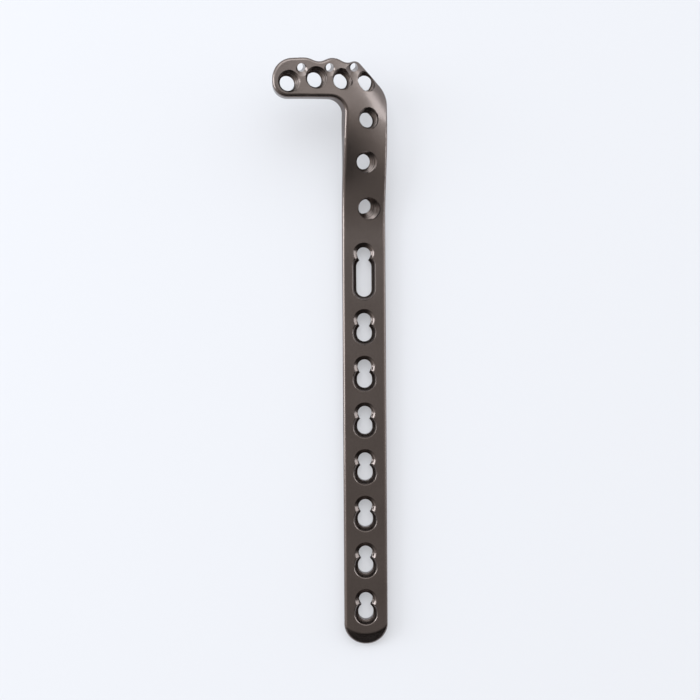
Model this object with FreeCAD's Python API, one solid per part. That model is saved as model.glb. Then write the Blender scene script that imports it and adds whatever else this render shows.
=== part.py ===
import FreeCAD, Part
import math
import os

from FreeCAD import Vector

# Anatomically bent bone plate of the 3.5 mm screw system, milled from one bar of titanium.
# Millimetres. The underside of the flat shaft is the plane z = 0, and the origin lies on it, on the
# axis of the round half of the combination hole nearest the tip. +Y runs up the shaft to the head,
# +X is the side that the head's arm turns away from, and +Z faces away from the bone.

NODE = "bone_plate"

# Flat shaft
THICKNESS = 3.6
SHAFT_WIDTH = 12.1
TIP_FROM_FIRST_HOLE = 12.87
EDGE_ROUND = 0.87
UNDER_EDGE_ROUND = 0.4

# Slope at the tip, a cone about an upright axis, so that its upper border is a round arc
TIP_SLOPE_RADIUS = 8.6
TIP_SLOPE_LENGTH = 3.3
TIP_SLOPE_ANGLE = 32.0
TIP_SLOPE_BLEND = 2.0

# Combination holes: a round half for a locking screw, run into a plain half with a round seat
COMBI_COUNT = 7
COMBI_PITCH = 13.0
COMBI_HALF_SPACING = 3.4
COMBI_PLAIN_RUN = 0.5
LOCK_RADIUS = 2.12
LOCK_RIM_RADIUS = 2.8
LOCK_SEAT_DEPTH = 0.75
PLAIN_RADIUS = LOCK_RADIUS
PLAIN_RIM_RADIUS = 3.12
PLAIN_SEAT_RADIUS = 3.3
RIM_BREAK = 0.18

# Long combination slot above the row
SLOT_FROM_LAST_HOLE = 18.5
SLOT_HALF_SPACING = 3.5
SLOT_PLAIN_RUN = 6.4

# Neck, counted up from its start, just above the slot: it rises, and twists so that its +X edge sinks
NECK_START_GAP = 0.9
NECK_RISE = 6.7
NECK_RISE_LENGTH = 38.0
NECK_TWIST_START = 6.8
NECK_TWIST_LENGTH = 33.0
NECK_SIDE_RADIUS = 180.0
NECK_INNER_TURN = 11.8
NECK_OUTER_TURN = 10.3
NECK_OUTER_BULGE = 0.95
NECK_OUTER_END_BELOW_TOP = 20.0

# Head: an arm on a cylinder that lies along the shaft's direction
HEAD_RADIUS = 66.0
HEAD_LEAN = 26.5
HEAD_TOP = 47.8
ARM_WIDTH = 10.95
ARM_REACH = 24.3
ARM_END_DROP = 0.55
ARM_END_UPPER_RADIUS = 5.7
ARM_END_LOWER_RADIUS = 4.15
ARM_ROOT_X = -4.45
ARM_ROOT_RISE = 0.9
ARM_ROOT_RADIUS = 3.8

# Slanting corner of the head, which wraps down towards the bone
CORNER_SLANT = 45.5
CORNER_RADIUS = 8.0
CORNER_BELOW_TOP = 7.25
WRAP_DIRECTION = 42.0
WRAP_CURVE = 0.1
WRAP_WIDTH = 8.0
WRAP_EASE = 1.5

# Waved top edge: corners of its rises and dips, as x, height above the head's top line, and radius
WAVE = [(-1.45, 1.3, 1.6), (-4.2, -0.45, 2.6), (-7.55, 1.1, 4.2), (-11.75, -1.05, 3.5), (-14.8, 0.2, 6.0)]

# Wire holes, each under a rise of the waved edge, as x and distance below the head's top line
WIRE_HOLES = [(-16.5, 2.85), (-8.9, 2.4), (-2.3, 1.5)]
WIRE_RADIUS = 1.1
WIRE_RIM_RADIUS = 1.45
WIRE_LEAN_X = 14.0
WIRE_LEAN_Y = -20.0

# Locking holes of the head, all parallel, as x and distance below the head's top line
HEAD_HOLES = [(-19.8, 6.6), (-12.5, 5.3), (-5.45, 5.2), (1.1, 4.8), (1.6, 15.1)]
HEAD_HOLES_LEAN = 16.5

# Locking holes of the neck, as x, distance above the neck's start, and the lean of the axis each way
NECK_HOLES = [(0.85, 21.05, 20.5, -11.0), (1.35, 8.75, 30.0, -20.5)]
HEAD_LOCK_RADIUS = 2.3
HEAD_LOCK_RIM_RADIUS = 3.0
HEAD_LOCK_ENTRY_DEPTH = 0.35
HEAD_LOCK_SEAT_DEPTH = 2.0

# Spacing of the points that the curved faces and their borders are drawn through, how many of them
# one face of the wall takes in, and how far the curved faces run past the outline before they are cut
SURFACE_STEP = 2.5
BORDER_STEP = 0.8
WALL_POINTS = 12
SLAB_MARGIN = 4.0
WALL_MARGIN = 1.0

half_width = SHAFT_WIDTH / 2
tip_y = -TIP_FROM_FIRST_HOLE
last_combi_y = (COMBI_COUNT - 1) * COMBI_PITCH
slot_y = last_combi_y + SLOT_FROM_LAST_HOLE
neck_y = slot_y + LOCK_RIM_RADIUS + NECK_START_GAP
outer_x = half_width + NECK_OUTER_BULGE
top_y = neck_y + HEAD_TOP
corner_y = top_y - CORNER_BELOW_TOP
arm_low_y = top_y - ARM_WIDTH


def smooth_step(value):
    """0 below 0, 1 above 1, and an S-curve between."""
    u = min(max(value, 0.0), 1.0)
    return u ** 3 * (10 - 15 * u + 6 * u * u)


def head_height(x):
    """Height of the head's cylinder at x, counted from its height on the shaft's centre line."""
    lean = math.radians(HEAD_LEAN)
    across = x + HEAD_RADIUS * math.sin(lean)
    return math.sqrt(HEAD_RADIUS ** 2 - across ** 2) - HEAD_RADIUS * math.cos(lean)


def wrap_drop(x, y):
    """How far the slanting corner has dropped at a point, on a parabola across its border."""
    direction = math.radians(WRAP_DIRECTION)
    slant = math.radians(CORNER_SLANT)
    middle_x = outer_x / 2
    middle_y = corner_y + (outer_x - middle_x) * math.tan(slant)
    past = (x - middle_x) * math.cos(direction) + (y - middle_y) * math.sin(direction) + WRAP_WIDTH
    past = max(past, 0.0)
    return 0.5 * WRAP_CURVE * past ** 3 / (past + WRAP_EASE)


def outer_height(x, y):
    rise = NECK_RISE * smooth_step((y - neck_y) / NECK_RISE_LENGTH)
    twist = smooth_step((y - neck_y - NECK_TWIST_START) / NECK_TWIST_LENGTH)
    return THICKNESS + rise + twist * head_height(x) - wrap_drop(x, y)


def outer_normal(x, y):
    step = 0.001
    slope_x = (outer_height(x + step, y) - outer_height(x - step, y)) / (2 * step)
    slope_y = (outer_height(x, y + step) - outer_height(x, y - step)) / (2 * step)
    return Vector(-slope_x, -slope_y, 1).normalize()


def under_outer(x, y, depth):
    """The point that lies depth under the outer face, square to it."""
    return Vector(x, y, outer_height(x, y)) - outer_normal(x, y) * depth


def steps(low, high, size):
    count = max(math.ceil((high - low) / size), 1)
    return [low + (high - low) * i / count for i in range(count + 1)]


def corner(x, y, radius):
    return Vector(x, y, 0), radius


def rounded_path(start, corners, end):
    """Lines from start to end through the corners, each rounded by an arc that touches both lines."""
    edges = []
    here = start
    points = [point for point, radius in corners] + [end]
    for i, (point, radius) in enumerate(corners):
        back = (here - point).normalize()
        ahead = (points[i + 1] - point).normalize()
        half_angle = back.getAngle(ahead) / 2
        reach = radius / math.tan(half_angle)
        middle = (back + ahead).normalize()
        first = point + back * reach
        last = point + ahead * reach
        nearest = point + middle * (radius / math.sin(half_angle) - radius)
        edges.append(Part.LineSegment(here, first).toShape())
        edges.append(Part.Arc(first, nearest, last).toShape())
        here = last
    edges.append(Part.LineSegment(here, end).toShape())
    return edges


def head_border():
    """Plan outline of the neck and head on the outer face, from the shaft's +X edge round to its -X edge."""
    start = Vector(half_width, neck_y - WALL_MARGIN, 0)
    end = Vector(-half_width, neck_y - WALL_MARGIN, 0)
    corners = [
        corner(half_width, neck_y + NECK_OUTER_TURN, NECK_SIDE_RADIUS),
        corner(outer_x, top_y - NECK_OUTER_END_BELOW_TOP, NECK_SIDE_RADIUS),
        corner(outer_x, corner_y, CORNER_RADIUS)]
    corners += [corner(x, top_y + above, radius) for x, above, radius in WAVE]
    corners += [
        corner(-ARM_REACH, top_y - ARM_END_DROP, ARM_END_UPPER_RADIUS),
        corner(-ARM_REACH, arm_low_y, ARM_END_LOWER_RADIUS),
        corner(ARM_ROOT_X, arm_low_y + ARM_ROOT_RISE, ARM_ROOT_RADIUS),
        corner(-half_width, neck_y + NECK_INNER_TURN, NECK_SIDE_RADIUS)]
    return rounded_path(start, corners, end)


def border_line(points, depth):
    """The plan outline laid on the outer face, or at a depth under it."""
    curve = Part.BSplineCurve()
    curve.interpolate(Points=[under_outer(p.x, p.y, depth) for p in points], Parameters=range(len(points)))
    return curve


def curved_face(depth, xs, ys):
    surface = Part.BSplineSurface()
    surface.interpolate([[under_outer(x, y, depth) for y in ys] for x in xs])
    return surface.toShape()


def curved_slab():
    """The neck and head's material, cut square at the seam and left wide of the outline elsewhere."""
    xs = steps(-ARM_REACH - SLAB_MARGIN, outer_x + SLAB_MARGIN, SURFACE_STEP)
    ys = steps(neck_y, top_y + SLAB_MARGIN, SURFACE_STEP)
    outer = curved_face(0, xs, ys)
    under = curved_face(THICKNESS, xs, ys)
    sides = [Part.makeRuledSurface(a, b) for a, b in zip(outer.Edges, under.Edges)]
    shell = Part.makeShell([outer, under] + sides)
    shell.sewShape()
    return Part.makeSolid(shell)


def border_wall():
    """Wall round the head, square to the outer face all the way, in a row of smoothly joined faces."""
    outline = Part.Wire(head_border())
    points = outline.discretize(Number=math.ceil(outline.Length / BORDER_STEP) + 1)
    above = border_line(points, -WALL_MARGIN)
    below = border_line(points, THICKNESS + WALL_MARGIN)
    ends = steps(0, len(points) - 1, WALL_POINTS)
    walls = [Part.makeRuledSurface(above.toShape(a, b), below.toShape(a, b)) for a, b in zip(ends, ends[1:])]
    shell = Part.makeShell(walls)
    shell.sewShape()
    return shell


def head_blank():
    pieces = curved_slab().generalFuse([border_wall()])[1][0]
    inside = Vector(0, neck_y + WALL_MARGIN, THICKNESS / 2)
    return [piece for piece in pieces if piece.isInside(inside, 0.01, False)][0]


def shaft_blank():
    centre_y = tip_y + half_width
    left = Vector(-half_width, centre_y, 0)
    right = Vector(half_width, centre_y, 0)
    edges = [
        Part.LineSegment(Vector(-half_width, neck_y, 0), left).toShape(),
        Part.Arc(left, Vector(0, tip_y, 0), right).toShape(),
        Part.LineSegment(right, Vector(half_width, neck_y, 0)).toShape(),
        Part.LineSegment(Vector(half_width, neck_y, 0), Vector(-half_width, neck_y, 0)).toShape()]
    return Part.Face(Part.Wire(edges)).extrude(Vector(0, 0, THICKNESS))


def tip_slope_cutter():
    """Ring outside a cone about an upright axis; its lower half turns the flat tip into a slope."""
    axis_y = tip_y + TIP_SLOPE_LENGTH + TIP_SLOPE_RADIUS
    far = TIP_SLOPE_RADIUS + 2 * TIP_SLOPE_LENGTH
    drop = (far - TIP_SLOPE_RADIUS) * math.tan(math.radians(TIP_SLOPE_ANGLE))
    profile = Part.makePolygon([
        Vector(TIP_SLOPE_RADIUS, axis_y, THICKNESS), Vector(far, axis_y, THICKNESS),
        Vector(far, axis_y, THICKNESS - drop), Vector(TIP_SLOPE_RADIUS, axis_y, THICKNESS)])
    return Part.Face(profile).revolve(Vector(0, axis_y, 0), Vector(0, 0, 1), -180)


def faces_by_side(shape):
    """The solid's walls, and the rest of its faces, told apart by how they stand to the plate."""
    walls, outer, under = [], [], []
    for face in shape.Faces:
        u0, u1, v0, v1 = face.ParameterRange
        u, v = (u0 + u1) / 2, (v0 + v1) / 2
        place = face.valueAt(u, v)
        facing = face.normalAt(u, v).dot(outer_normal(place.x, place.y))
        group = walls if abs(facing) < 0.5 else outer if facing > 0 else under
        group.append(face)
    return walls, outer, under


def shared_edges(group, others):
    found = []
    for face in group:
        for edge in face.Edges:
            if any(edge.isSame(other) for second in others for other in second.Edges):
                found.append(edge)
    return found


def blank():
    shaft = shaft_blank().cut(tip_slope_cutter())
    arcs = [edge for edge in shaft.Edges if isinstance(edge.Curve, Part.Circle)]
    border = [arc for arc in arcs if abs(arc.Curve.Radius - TIP_SLOPE_RADIUS) < 0.001]
    shaft = shaft.makeFillet(TIP_SLOPE_BLEND, border)
    solid = shaft.fuse(head_blank()).removeSplitter().Solids[0]
    walls, outer, under = faces_by_side(solid)
    solid = solid.makeFillet(EDGE_ROUND, shared_edges(walls, outer))
    walls, outer, under = faces_by_side(solid)
    return solid.makeFillet(UNDER_EDGE_ROUND, shared_edges(walls, under))


def line(*places):
    """Straight edges of a hole's half profile, through (radius, height) places."""
    return Part.makePolygon([Vector(radius, 0, height) for radius, height in places]).Edges


def turned(profile, centre_y):
    face = Part.Face(Part.Wire(profile))
    face.translate(Vector(0, centre_y, THICKNESS))
    return face.revolve(Vector(0, centre_y, 0), Vector(0, 0, 1), 360)


def oblong(profile, low_y, high_y):
    """A half profile turned at both ends of a hole in the shaft and carried straight between them."""
    half = Part.Face(Part.Wire(profile))
    half.translate(Vector(0, low_y, THICKNESS))
    other = half.mirror(Vector(0, low_y, 0), Vector(1, 0, 0))
    run = Vector(0, high_y - low_y, 0)
    return turned(profile, low_y).fuse([turned(profile, high_y), half.extrude(run), other.extrude(run)])


def lock_profile():
    """Threaded half of a combination hole: a cone under the rim, then straight down."""
    break_radius = LOCK_RIM_RADIUS + RIM_BREAK
    return line((0, 1), (break_radius, 1), (break_radius, 0), (LOCK_RIM_RADIUS, -RIM_BREAK),
                (LOCK_RADIUS, -LOCK_SEAT_DEPTH), (LOCK_RADIUS, -THICKNESS - 1), (0, -THICKNESS - 1), (0, 1))


def seat_point(radius):
    """Point of the plain half's ball-shaped seat at a radius from the hole's axis."""
    rise = math.sqrt(PLAIN_SEAT_RADIUS ** 2 - PLAIN_RIM_RADIUS ** 2)
    return Vector(radius, 0, rise - math.sqrt(PLAIN_SEAT_RADIUS ** 2 - radius ** 2) - RIM_BREAK)


def plain_profile():
    """Plain half: a seat that is part of a ball, for a round screw head, then straight down."""
    first, last = seat_point(PLAIN_RIM_RADIUS), seat_point(PLAIN_RADIUS)
    between = seat_point((PLAIN_RIM_RADIUS + PLAIN_RADIUS) / 2)
    break_radius = PLAIN_RIM_RADIUS + RIM_BREAK
    top = line((0, 1), (break_radius, 1), (break_radius, 0), (first.x, first.z))
    seat = Part.Arc(first, between, last).toShape()
    bottom = line((last.x, last.z), (PLAIN_RADIUS, -THICKNESS - 1), (0, -THICKNESS - 1), (0, 1))
    return top + [seat] + bottom


def combination_cutter(lock_y, half_spacing, plain_run):
    high_y = lock_y - half_spacing
    return turned(lock_profile(), lock_y).fuse(oblong(plain_profile(), high_y - plain_run, high_y))


def leaning_cutter(x, y, lean_x, lean_y, profile):
    """Round cutter whose axis passes the outer face at (x, y), with its own lean each way in degrees."""
    axis = Vector(math.tan(math.radians(lean_x)), math.tan(math.radians(lean_y)), 1)
    cutter = Part.Face(Part.Wire(profile)).revolve(Vector(), Vector(0, 0, 1), 360)
    turn = FreeCAD.Rotation(Vector(0, 0, 1), axis)
    cutter.Placement = FreeCAD.Placement(under_outer(x, y, 0), turn)
    return cutter


def head_lock_profile():
    high, low = 2 * THICKNESS, -4 * THICKNESS
    return line((0, high), (HEAD_LOCK_RIM_RADIUS, high), (HEAD_LOCK_RIM_RADIUS, -HEAD_LOCK_ENTRY_DEPTH),
                (HEAD_LOCK_RADIUS, -HEAD_LOCK_SEAT_DEPTH), (HEAD_LOCK_RADIUS, low), (0, low), (0, high))


def wire_profile():
    high, low = 2 * THICKNESS, -4 * THICKNESS
    flare = WIRE_RIM_RADIUS - WIRE_RADIUS
    return line((0, high), (WIRE_RADIUS + flare + high, high), (WIRE_RADIUS, -flare), (WIRE_RADIUS, low),
                (0, low), (0, high))


def hole_cutters():
    cutters = [combination_cutter(i * COMBI_PITCH, COMBI_HALF_SPACING, COMBI_PLAIN_RUN)
               for i in range(COMBI_COUNT)]
    cutters.append(combination_cutter(slot_y, SLOT_HALF_SPACING, SLOT_PLAIN_RUN))
    for x, below_top in HEAD_HOLES:
        cutters.append(leaning_cutter(x, top_y - below_top, HEAD_HOLES_LEAN, 0, head_lock_profile()))
    for x, up, lean_x, lean_y in NECK_HOLES:
        cutters.append(leaning_cutter(x, neck_y + up, lean_x, lean_y, head_lock_profile()))
    for x, below_top in WIRE_HOLES:
        cutters.append(leaning_cutter(x, top_y - below_top, WIRE_LEAN_X, WIRE_LEAN_Y, wire_profile()))
    return cutters


if __name__ == "__main__":
    os.makedirs("parts", exist_ok=True)
    plate = blank().cut(hole_cutters())
    print(plate.isValid(), len(plate.Solids), plate.Volume, plate.BoundBox)
    plate = plate.Solids[0]
    plate.exportStep(f"parts/{NODE}.step")
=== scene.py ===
import math

import bmesh
import bpy
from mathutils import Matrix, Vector
from mathutils.bvhtree import BVHTree


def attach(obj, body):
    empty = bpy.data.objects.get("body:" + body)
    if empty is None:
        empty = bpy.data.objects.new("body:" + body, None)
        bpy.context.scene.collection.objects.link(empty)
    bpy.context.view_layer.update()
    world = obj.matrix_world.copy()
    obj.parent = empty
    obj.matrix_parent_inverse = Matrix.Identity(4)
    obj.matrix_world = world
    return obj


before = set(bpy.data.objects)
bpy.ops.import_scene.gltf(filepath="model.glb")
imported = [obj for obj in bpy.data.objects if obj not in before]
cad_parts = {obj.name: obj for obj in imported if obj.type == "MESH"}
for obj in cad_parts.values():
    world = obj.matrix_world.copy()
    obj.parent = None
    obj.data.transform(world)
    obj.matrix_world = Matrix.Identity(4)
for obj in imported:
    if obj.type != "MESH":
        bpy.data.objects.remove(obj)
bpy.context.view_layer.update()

MM = 0.001


# Shader maths

class Socket:
    """A shader value that can be added, subtracted and multiplied like a number."""

    def __init__(self, surface, socket):
        self.surface = surface
        self.socket = socket

    def maths(self, operation, *values):
        inputs = dict(enumerate(values))
        return self.surface.node("ShaderNodeMath", {"operation": operation}, inputs)

    def __add__(self, other):
        return self.maths("ADD", self, other)

    def __radd__(self, other):
        return self.maths("ADD", other, self)

    def __sub__(self, other):
        return self.maths("SUBTRACT", self, other)

    def __rsub__(self, other):
        return self.maths("SUBTRACT", other, self)

    def __mul__(self, other):
        return self.maths("MULTIPLY", self, other)

    def __rmul__(self, other):
        return self.maths("MULTIPLY", other, self)

    def between(self, low, high):
        """0 where the value is low, 1 where it is high, and smooth in between."""
        settings = {"interpolation_type": "SMOOTHSTEP", "clamp": True}
        inputs = {"Value": self, "From Min": low, "From Max": high}
        return self.surface.node("ShaderNodeMapRange", settings, inputs)


# Places in the lists of sockets: the Mix node's two colours and its result, and object coordinates
FIRST_COLOUR = 6
SECOND_COLOUR = 7
MIXED_COLOUR = 2
OBJECT_PLACE = 3


class Surface:
    """The node tree of a material or of the world."""

    def __init__(self, owner):
        owner.use_nodes = True
        self.tree = owner.node_tree
        self.tree.nodes.clear()

    def node(self, kind, settings=None, inputs=None, output=0):
        node = self.tree.nodes.new(kind)
        for name, value in (settings or {}).items():
            setattr(node, name, value)
        for name, value in (inputs or {}).items():
            if isinstance(value, Socket):
                self.tree.links.new(value.socket, node.inputs[name])
            else:
                node.inputs[name].default_value = value
        return Socket(self, node.outputs[output]) if node.outputs else None

    def mix(self, factor, first, second):
        inputs = {"Factor": factor, FIRST_COLOUR: first, SECOND_COLOUR: second}
        return self.node("ShaderNodeMix", {"data_type": "RGBA"}, inputs, output=MIXED_COLOUR)


# Finishes

OXIDE_DARK = (0.132, 0.103, 0.090, 1)
OXIDE_LIGHT = (0.156, 0.123, 0.109, 1)
BLAST_DEPTH = 0.03 * MM
SHEET_COLOUR = (0.66, 0.64, 0.65, 1)
BACKDROP_COLOUR = (0.91, 0.928, 0.965, 1)
BACKDROP_SHARE = 0.4


def anodised_titanium(name):
    """Dark warm grey oxide over blasted and tumbled titanium."""
    material = bpy.data.materials.new(name)
    surface = Surface(material)
    place = surface.node("ShaderNodeTexCoord", output=OBJECT_PLACE)

    def noise(scale, detail, roughness=0.5):
        inputs = {"Vector": place, "Scale": scale, "Detail": detail, "Roughness": roughness}
        return surface.node("ShaderNodeTexNoise", None, inputs)

    cloud = noise(90, 3)
    grain = noise(2600, 2)
    blast = noise(7000, 3, 0.65)
    tint = cloud.between(0.3, 0.7) * 0.6 + grain.between(0.35, 0.65) * 0.4
    colour = surface.mix(tint, OXIDE_DARK, OXIDE_LIGHT)
    roughness = 0.2 + cloud * 0.03 + grain * 0.05
    bump = surface.node("ShaderNodeBump", None, {
        "Strength": 0.11, "Distance": BLAST_DEPTH, "Height": blast})
    shader = surface.node("ShaderNodeBsdfPrincipled", None, {
        "Base Color": colour, "Metallic": 1.0, "Roughness": roughness, "Normal": bump,
        "Coat Weight": 0.35, "Coat Roughness": 0.22, "Coat IOR": 1.5})
    surface.node("ShaderNodeOutputMaterial", None, {"Surface": shader})
    return material


def pale_floor(name):
    """Matt sheet that takes the plate's shadow, with part of a plain backdrop where the camera sees it."""
    material = bpy.data.materials.new(name)
    surface = Surface(material)
    sheet = surface.node("ShaderNodeBsdfPrincipled", None, {
        "Base Color": SHEET_COLOUR, "Roughness": 0.9, "Specular IOR Level": 0.1})
    backdrop = surface.node("ShaderNodeEmission", None, {"Color": BACKDROP_COLOUR, "Strength": 1.0})
    seen_by_camera = surface.node("ShaderNodeLightPath")
    shader = surface.node("ShaderNodeMixShader", None, {
        0: seen_by_camera * BACKDROP_SHARE, 1: sheet, 2: backdrop})
    surface.node("ShaderNodeOutputMaterial", None, {"Surface": shader})
    return material


# Sizes of the plate, in mm and degrees: shaft, neck, head cylinder and the corner that wraps down

THICKNESS = 3.6
COMBI_COUNT = 7
COMBI_PITCH = 13.0
SLOT_FROM_LAST_HOLE = 18.5
NECK_FROM_SLOT = 3.7
NECK_RISE = 6.7
NECK_RISE_LENGTH = 38.0
NECK_TWIST_START = 6.8
NECK_TWIST_LENGTH = 33.0
HEAD_RADIUS = 66.0
HEAD_LEAN = 26.5
HEAD_TOP = 47.8
CORNER_X = 7.0
CORNER_BELOW_TOP = 7.25
CORNER_SLANT = 45.5
WRAP_DIRECTION = 42.0
WRAP_CURVE = 0.1
WRAP_WIDTH = 8.0
WRAP_EASE = 1.5

slot_y = (COMBI_COUNT - 1) * COMBI_PITCH + SLOT_FROM_LAST_HOLE
neck_y = slot_y + NECK_FROM_SLOT
top_y = neck_y + HEAD_TOP


def smooth_step(value):
    """0 below 0, 1 above 1, and an S-curve between."""
    u = min(max(value, 0.0), 1.0)
    return u ** 3 * (10 - 15 * u + 6 * u * u)


def head_height(x):
    """Height of the head's cylinder at x, counted from its height on the shaft's centre line."""
    lean = math.radians(HEAD_LEAN)
    across = x + HEAD_RADIUS * math.sin(lean)
    return math.sqrt(HEAD_RADIUS ** 2 - across ** 2) - HEAD_RADIUS * math.cos(lean)


def wrap_drop(x, y):
    """How far the slanting corner has dropped at a point."""
    direction = math.radians(WRAP_DIRECTION)
    middle_x = CORNER_X / 2
    middle_y = top_y - CORNER_BELOW_TOP + (CORNER_X - middle_x) * math.tan(math.radians(CORNER_SLANT))
    past = (x - middle_x) * math.cos(direction) + (y - middle_y) * math.sin(direction) + WRAP_WIDTH
    past = max(past, 0.0)
    return 0.5 * WRAP_CURVE * past ** 3 / (past + WRAP_EASE)


def outer_height(x, y):
    rise = NECK_RISE * smooth_step((y - neck_y) / NECK_RISE_LENGTH)
    twist = smooth_step((y - neck_y - NECK_TWIST_START) / NECK_TWIST_LENGTH)
    return THICKNESS + rise + twist * head_height(x) - wrap_drop(x, y)


# Camera, straight above

CAMERA_ROLL = math.radians(0.35)
CAMERA_X = -4.012
CAMERA_Y = 69.567
CAMERA_ABOVE_PLATE = 307.0

camera_data = bpy.data.cameras.new("camera")
camera_data.lens = 56.69
camera_data.clip_start = 0.01
camera = bpy.data.objects.new("camera", camera_data)
camera.location = Vector((CAMERA_X, CAMERA_Y, THICKNESS + CAMERA_ABOVE_PLATE)) * MM
camera.rotation_euler = (0, 0, -CAMERA_ROLL)
bpy.context.collection.objects.link(camera)
bpy.context.scene.camera = camera


# Threads of the locking holes

THREAD_BASE = 0.2 * MM
THREAD_ROOT = 0.04 * MM
THREAD_HEIGHT = 0.2 * MM
THREAD_PITCH = 0.62 * MM
STEPS_PER_TURN = 64
SHORTEST_RUN = 6
RUN_OUT_STEPS = 4
WALL_SEARCH = 4 * MM
WALL_TOLERANCE = 0.09 * MM
SHAFT_THREAD_SPAN = (0.35 * MM, 3.35 * MM)
HEAD_THREAD_SPAN = (-1.0 * MM, 5.5 * MM)


def ridge_mesh(runs):
    """Strips with a three-sided section, from runs of (base, inward way, along the axis, height)."""
    mesh = bmesh.new()
    for run in runs:
        rows = []
        for base, inward, along, height in run:
            corners = [base - along * THREAD_BASE - inward * THREAD_ROOT,
                       base + inward * height,
                       base + along * THREAD_BASE - inward * THREAD_ROOT]
            rows.append([mesh.verts.new(corner) for corner in corners])
        for here, there in zip(rows, rows[1:]):
            for i in range(3):
                j = (i + 1) % 3
                mesh.faces.new((here[i], here[j], there[j], there[i]))
        mesh.faces.new(rows[0][::-1])
        mesh.faces.new(rows[-1])
    bmesh.ops.recalc_face_normals(mesh, faces=mesh.faces)
    data = bpy.data.meshes.new("thread")
    mesh.to_mesh(data)
    mesh.free()
    return data


def thread_runs(walls, mouth, axis, top, bottom, radius_at):
    """Helix down a hole, kept to the places where a ray from the axis meets the hole's own wall."""
    side = axis.cross(Vector((0, 1, 0))).normalized()
    across = axis.cross(side)
    turns = (bottom - top) / THREAD_PITCH
    runs, run = [], []
    for step in range(int(turns * STEPS_PER_TURN) + 1):
        angle = 2 * math.pi * step / STEPS_PER_TURN
        depth = top + THREAD_PITCH * step / STEPS_PER_TURN
        outward = side * math.cos(angle) + across * math.sin(angle)
        hit, normal, index, distance = walls.ray_cast(mouth - axis * depth, outward, WALL_SEARCH)
        if hit is not None and abs(distance - radius_at(depth)) < WALL_TOLERANCE:
            run.append((hit, -outward, axis))
        else:
            runs.append(run)
            run = []
    runs.append(run)
    shaped = []
    for run in runs:
        if len(run) > SHORTEST_RUN:
            ends = [min(i, len(run) - 1 - i, RUN_OUT_STEPS) / RUN_OUT_STEPS for i in range(len(run))]
            shaped.append([(*place, THREAD_HEIGHT * end) for place, end in zip(run, ends)])
    return shaped


def cone_radius(rim, entry, through, seat):
    """Radius of a hole at a depth, both in metres; the hole's own sizes are given in mm."""
    def radius(depth):
        share = min(max((depth - entry * MM) / ((seat - entry) * MM), 0), 1)
        return (rim + (through - rim) * share) * MM
    return radius


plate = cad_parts["bone_plate"]
walls = BVHTree.FromPolygons([v.co for v in plate.data.vertices], [p.vertices for p in plate.data.polygons])

shaft_radius = cone_radius(rim=2.8, entry=0.18, through=2.12, seat=0.75)
shaft_runs = []
for hole_y in [i * COMBI_PITCH for i in range(COMBI_COUNT)] + [slot_y]:
    mouth = Vector((0, hole_y, THICKNESS)) * MM
    shaft_runs += thread_runs(walls, mouth, Vector((0, 0, 1)), *SHAFT_THREAD_SPAN, shaft_radius)
shaft_threads = bpy.data.objects.new("shaft_threads", ridge_mesh(shaft_runs))

# Leaning holes: where each axis meets the outer face, in mm, and how it leans each way, in degrees
ARM_LEAN = (16.5, 0)
HEAD_LOCKS = [
    (-19.8, top_y - 6.6, ARM_LEAN),
    (-12.5, top_y - 5.3, ARM_LEAN),
    (-5.45, top_y - 5.2, ARM_LEAN),
    (1.1, top_y - 4.8, ARM_LEAN),
    (1.6, top_y - 15.1, ARM_LEAN),
    (0.85, neck_y + 21.05, (20.5, -11.0)),
    (1.35, neck_y + 8.75, (30.0, -20.5))]
head_radius = cone_radius(rim=3.0, entry=0.35, through=2.3, seat=2.0)
head_runs = []
for x, y, (lean_x, lean_y) in HEAD_LOCKS:
    mouth = Vector((x, y, outer_height(x, y))) * MM
    axis = Vector((math.tan(math.radians(lean_x)), math.tan(math.radians(lean_y)), 1)).normalized()
    head_runs += thread_runs(walls, mouth, axis, *HEAD_THREAD_SPAN, head_radius)
head_threads = bpy.data.objects.new("head_threads", ridge_mesh(head_runs))

titanium = anodised_titanium("anodised_titanium")
plate.data.materials.clear()
plate.data.materials.append(titanium)
for piece in (shaft_threads, head_threads):
    bpy.context.collection.objects.link(piece)
    piece.data.materials.append(titanium)
    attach(piece, "root")


# Floor

FLOOR_HALF_WIDTH = 1.5
FLOOR_MIDDLE_Y = 0.07
FLOOR_BELOW_PLATE = 0.05 * MM


def floor_sheet():
    mesh = bmesh.new()
    bmesh.ops.create_grid(mesh, x_segments=2, y_segments=2, size=FLOOR_HALF_WIDTH)
    data = bpy.data.meshes.new("floor")
    mesh.to_mesh(data)
    mesh.free()
    return data


floor = bpy.data.objects.new("floor", floor_sheet())
floor.location = (0, FLOOR_MIDDLE_Y, -FLOOR_BELOW_PLATE)
floor.data.materials.append(pale_floor("pale_floor"))
bpy.context.collection.objects.link(floor)


# Soft light

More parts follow.
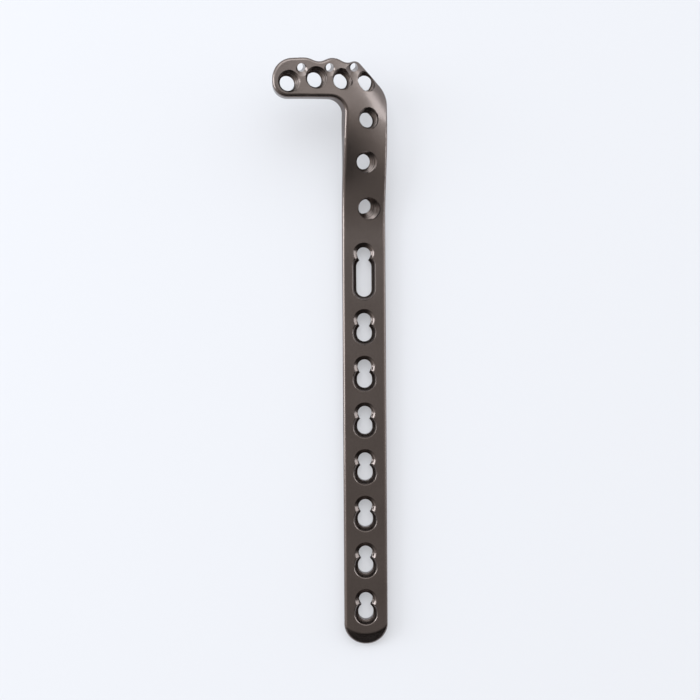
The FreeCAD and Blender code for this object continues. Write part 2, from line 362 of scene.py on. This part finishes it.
LAMP_COLOUR = (0.9, 1.0, 1.1)
NEUTRAL_SKY = (1, 1, 1, 1)
COOL_SKY = (0.88, 1.0, 1.1, 1)
PLATE_MIDDLE = (0, 0.08, 0)


def soft_box(name, place, width, height, power):
    """Square-cornered lamp in metres and watts, aimed at the middle of the plate."""
    data = bpy.data.lights.new(name, "AREA")
    data.color = LAMP_COLOUR
    data.shape = "RECTANGLE"
    data.size = width
    data.size_y = height
    data.energy = power
    lamp = bpy.data.objects.new(name, data)
    lamp.location = place
    way = Vector(PLATE_MIDDLE) - Vector(place)
    lamp.rotation_euler = way.to_track_quat("-Z", "Y").to_euler()
    bpy.context.collection.objects.link(lamp)


soft_box("left_box", (-0.75, 0.20, 0.32), 0.5, 0.5, 4.5)
soft_box("right_strip", (0.75, 0.28, 0.13), 0.7, 0.25, 1.5)
soft_box("far_box", (0.0, 0.85, 0.75), 0.9, 0.6, 2.5)


def studio_sky(world):
    """Room that is dark past the plate's tip, dimmer straight up, and lit past the plate's head."""
    room = Surface(world)
    way = room.node("ShaderNodeTexCoord")
    parts = room.tree.nodes.new("ShaderNodeSeparateXYZ")
    room.tree.links.new(way.socket, parts.inputs[0])
    across, along, up = (Socket(room, output) for output in parts.outputs)
    turned = along - across * 0.35
    open_side = 0.05 + 0.95 * turned.between(-0.9, 0.1)
    ceiling = up.between(0.88, 0.99)
    right_side = across.between(0.7, 1.0) * along.between(-0.35, 0.0) * (1 - along.between(0.05, 0.3))
    above_floor = up.between(0.05, 0.45)
    main_level = open_side * (0.95 - 0.47 * ceiling)
    cool_level = 1.1 * along.between(0.0, 0.5) * above_floor + 0.6 * right_side
    main = room.node("ShaderNodeBackground", None, {"Color": NEUTRAL_SKY, "Strength": main_level})
    cool = room.node("ShaderNodeBackground", None, {"Color": COOL_SKY, "Strength": cool_level})
    light = room.node("ShaderNodeAddShader", None, {0: main, 1: cool})
    room.node("ShaderNodeOutputWorld", None, {"Surface": light})


scene = bpy.context.scene
scene.world = bpy.data.worlds.new("studio")
studio_sky(scene.world)
scene.view_settings.view_transform = "Standard"
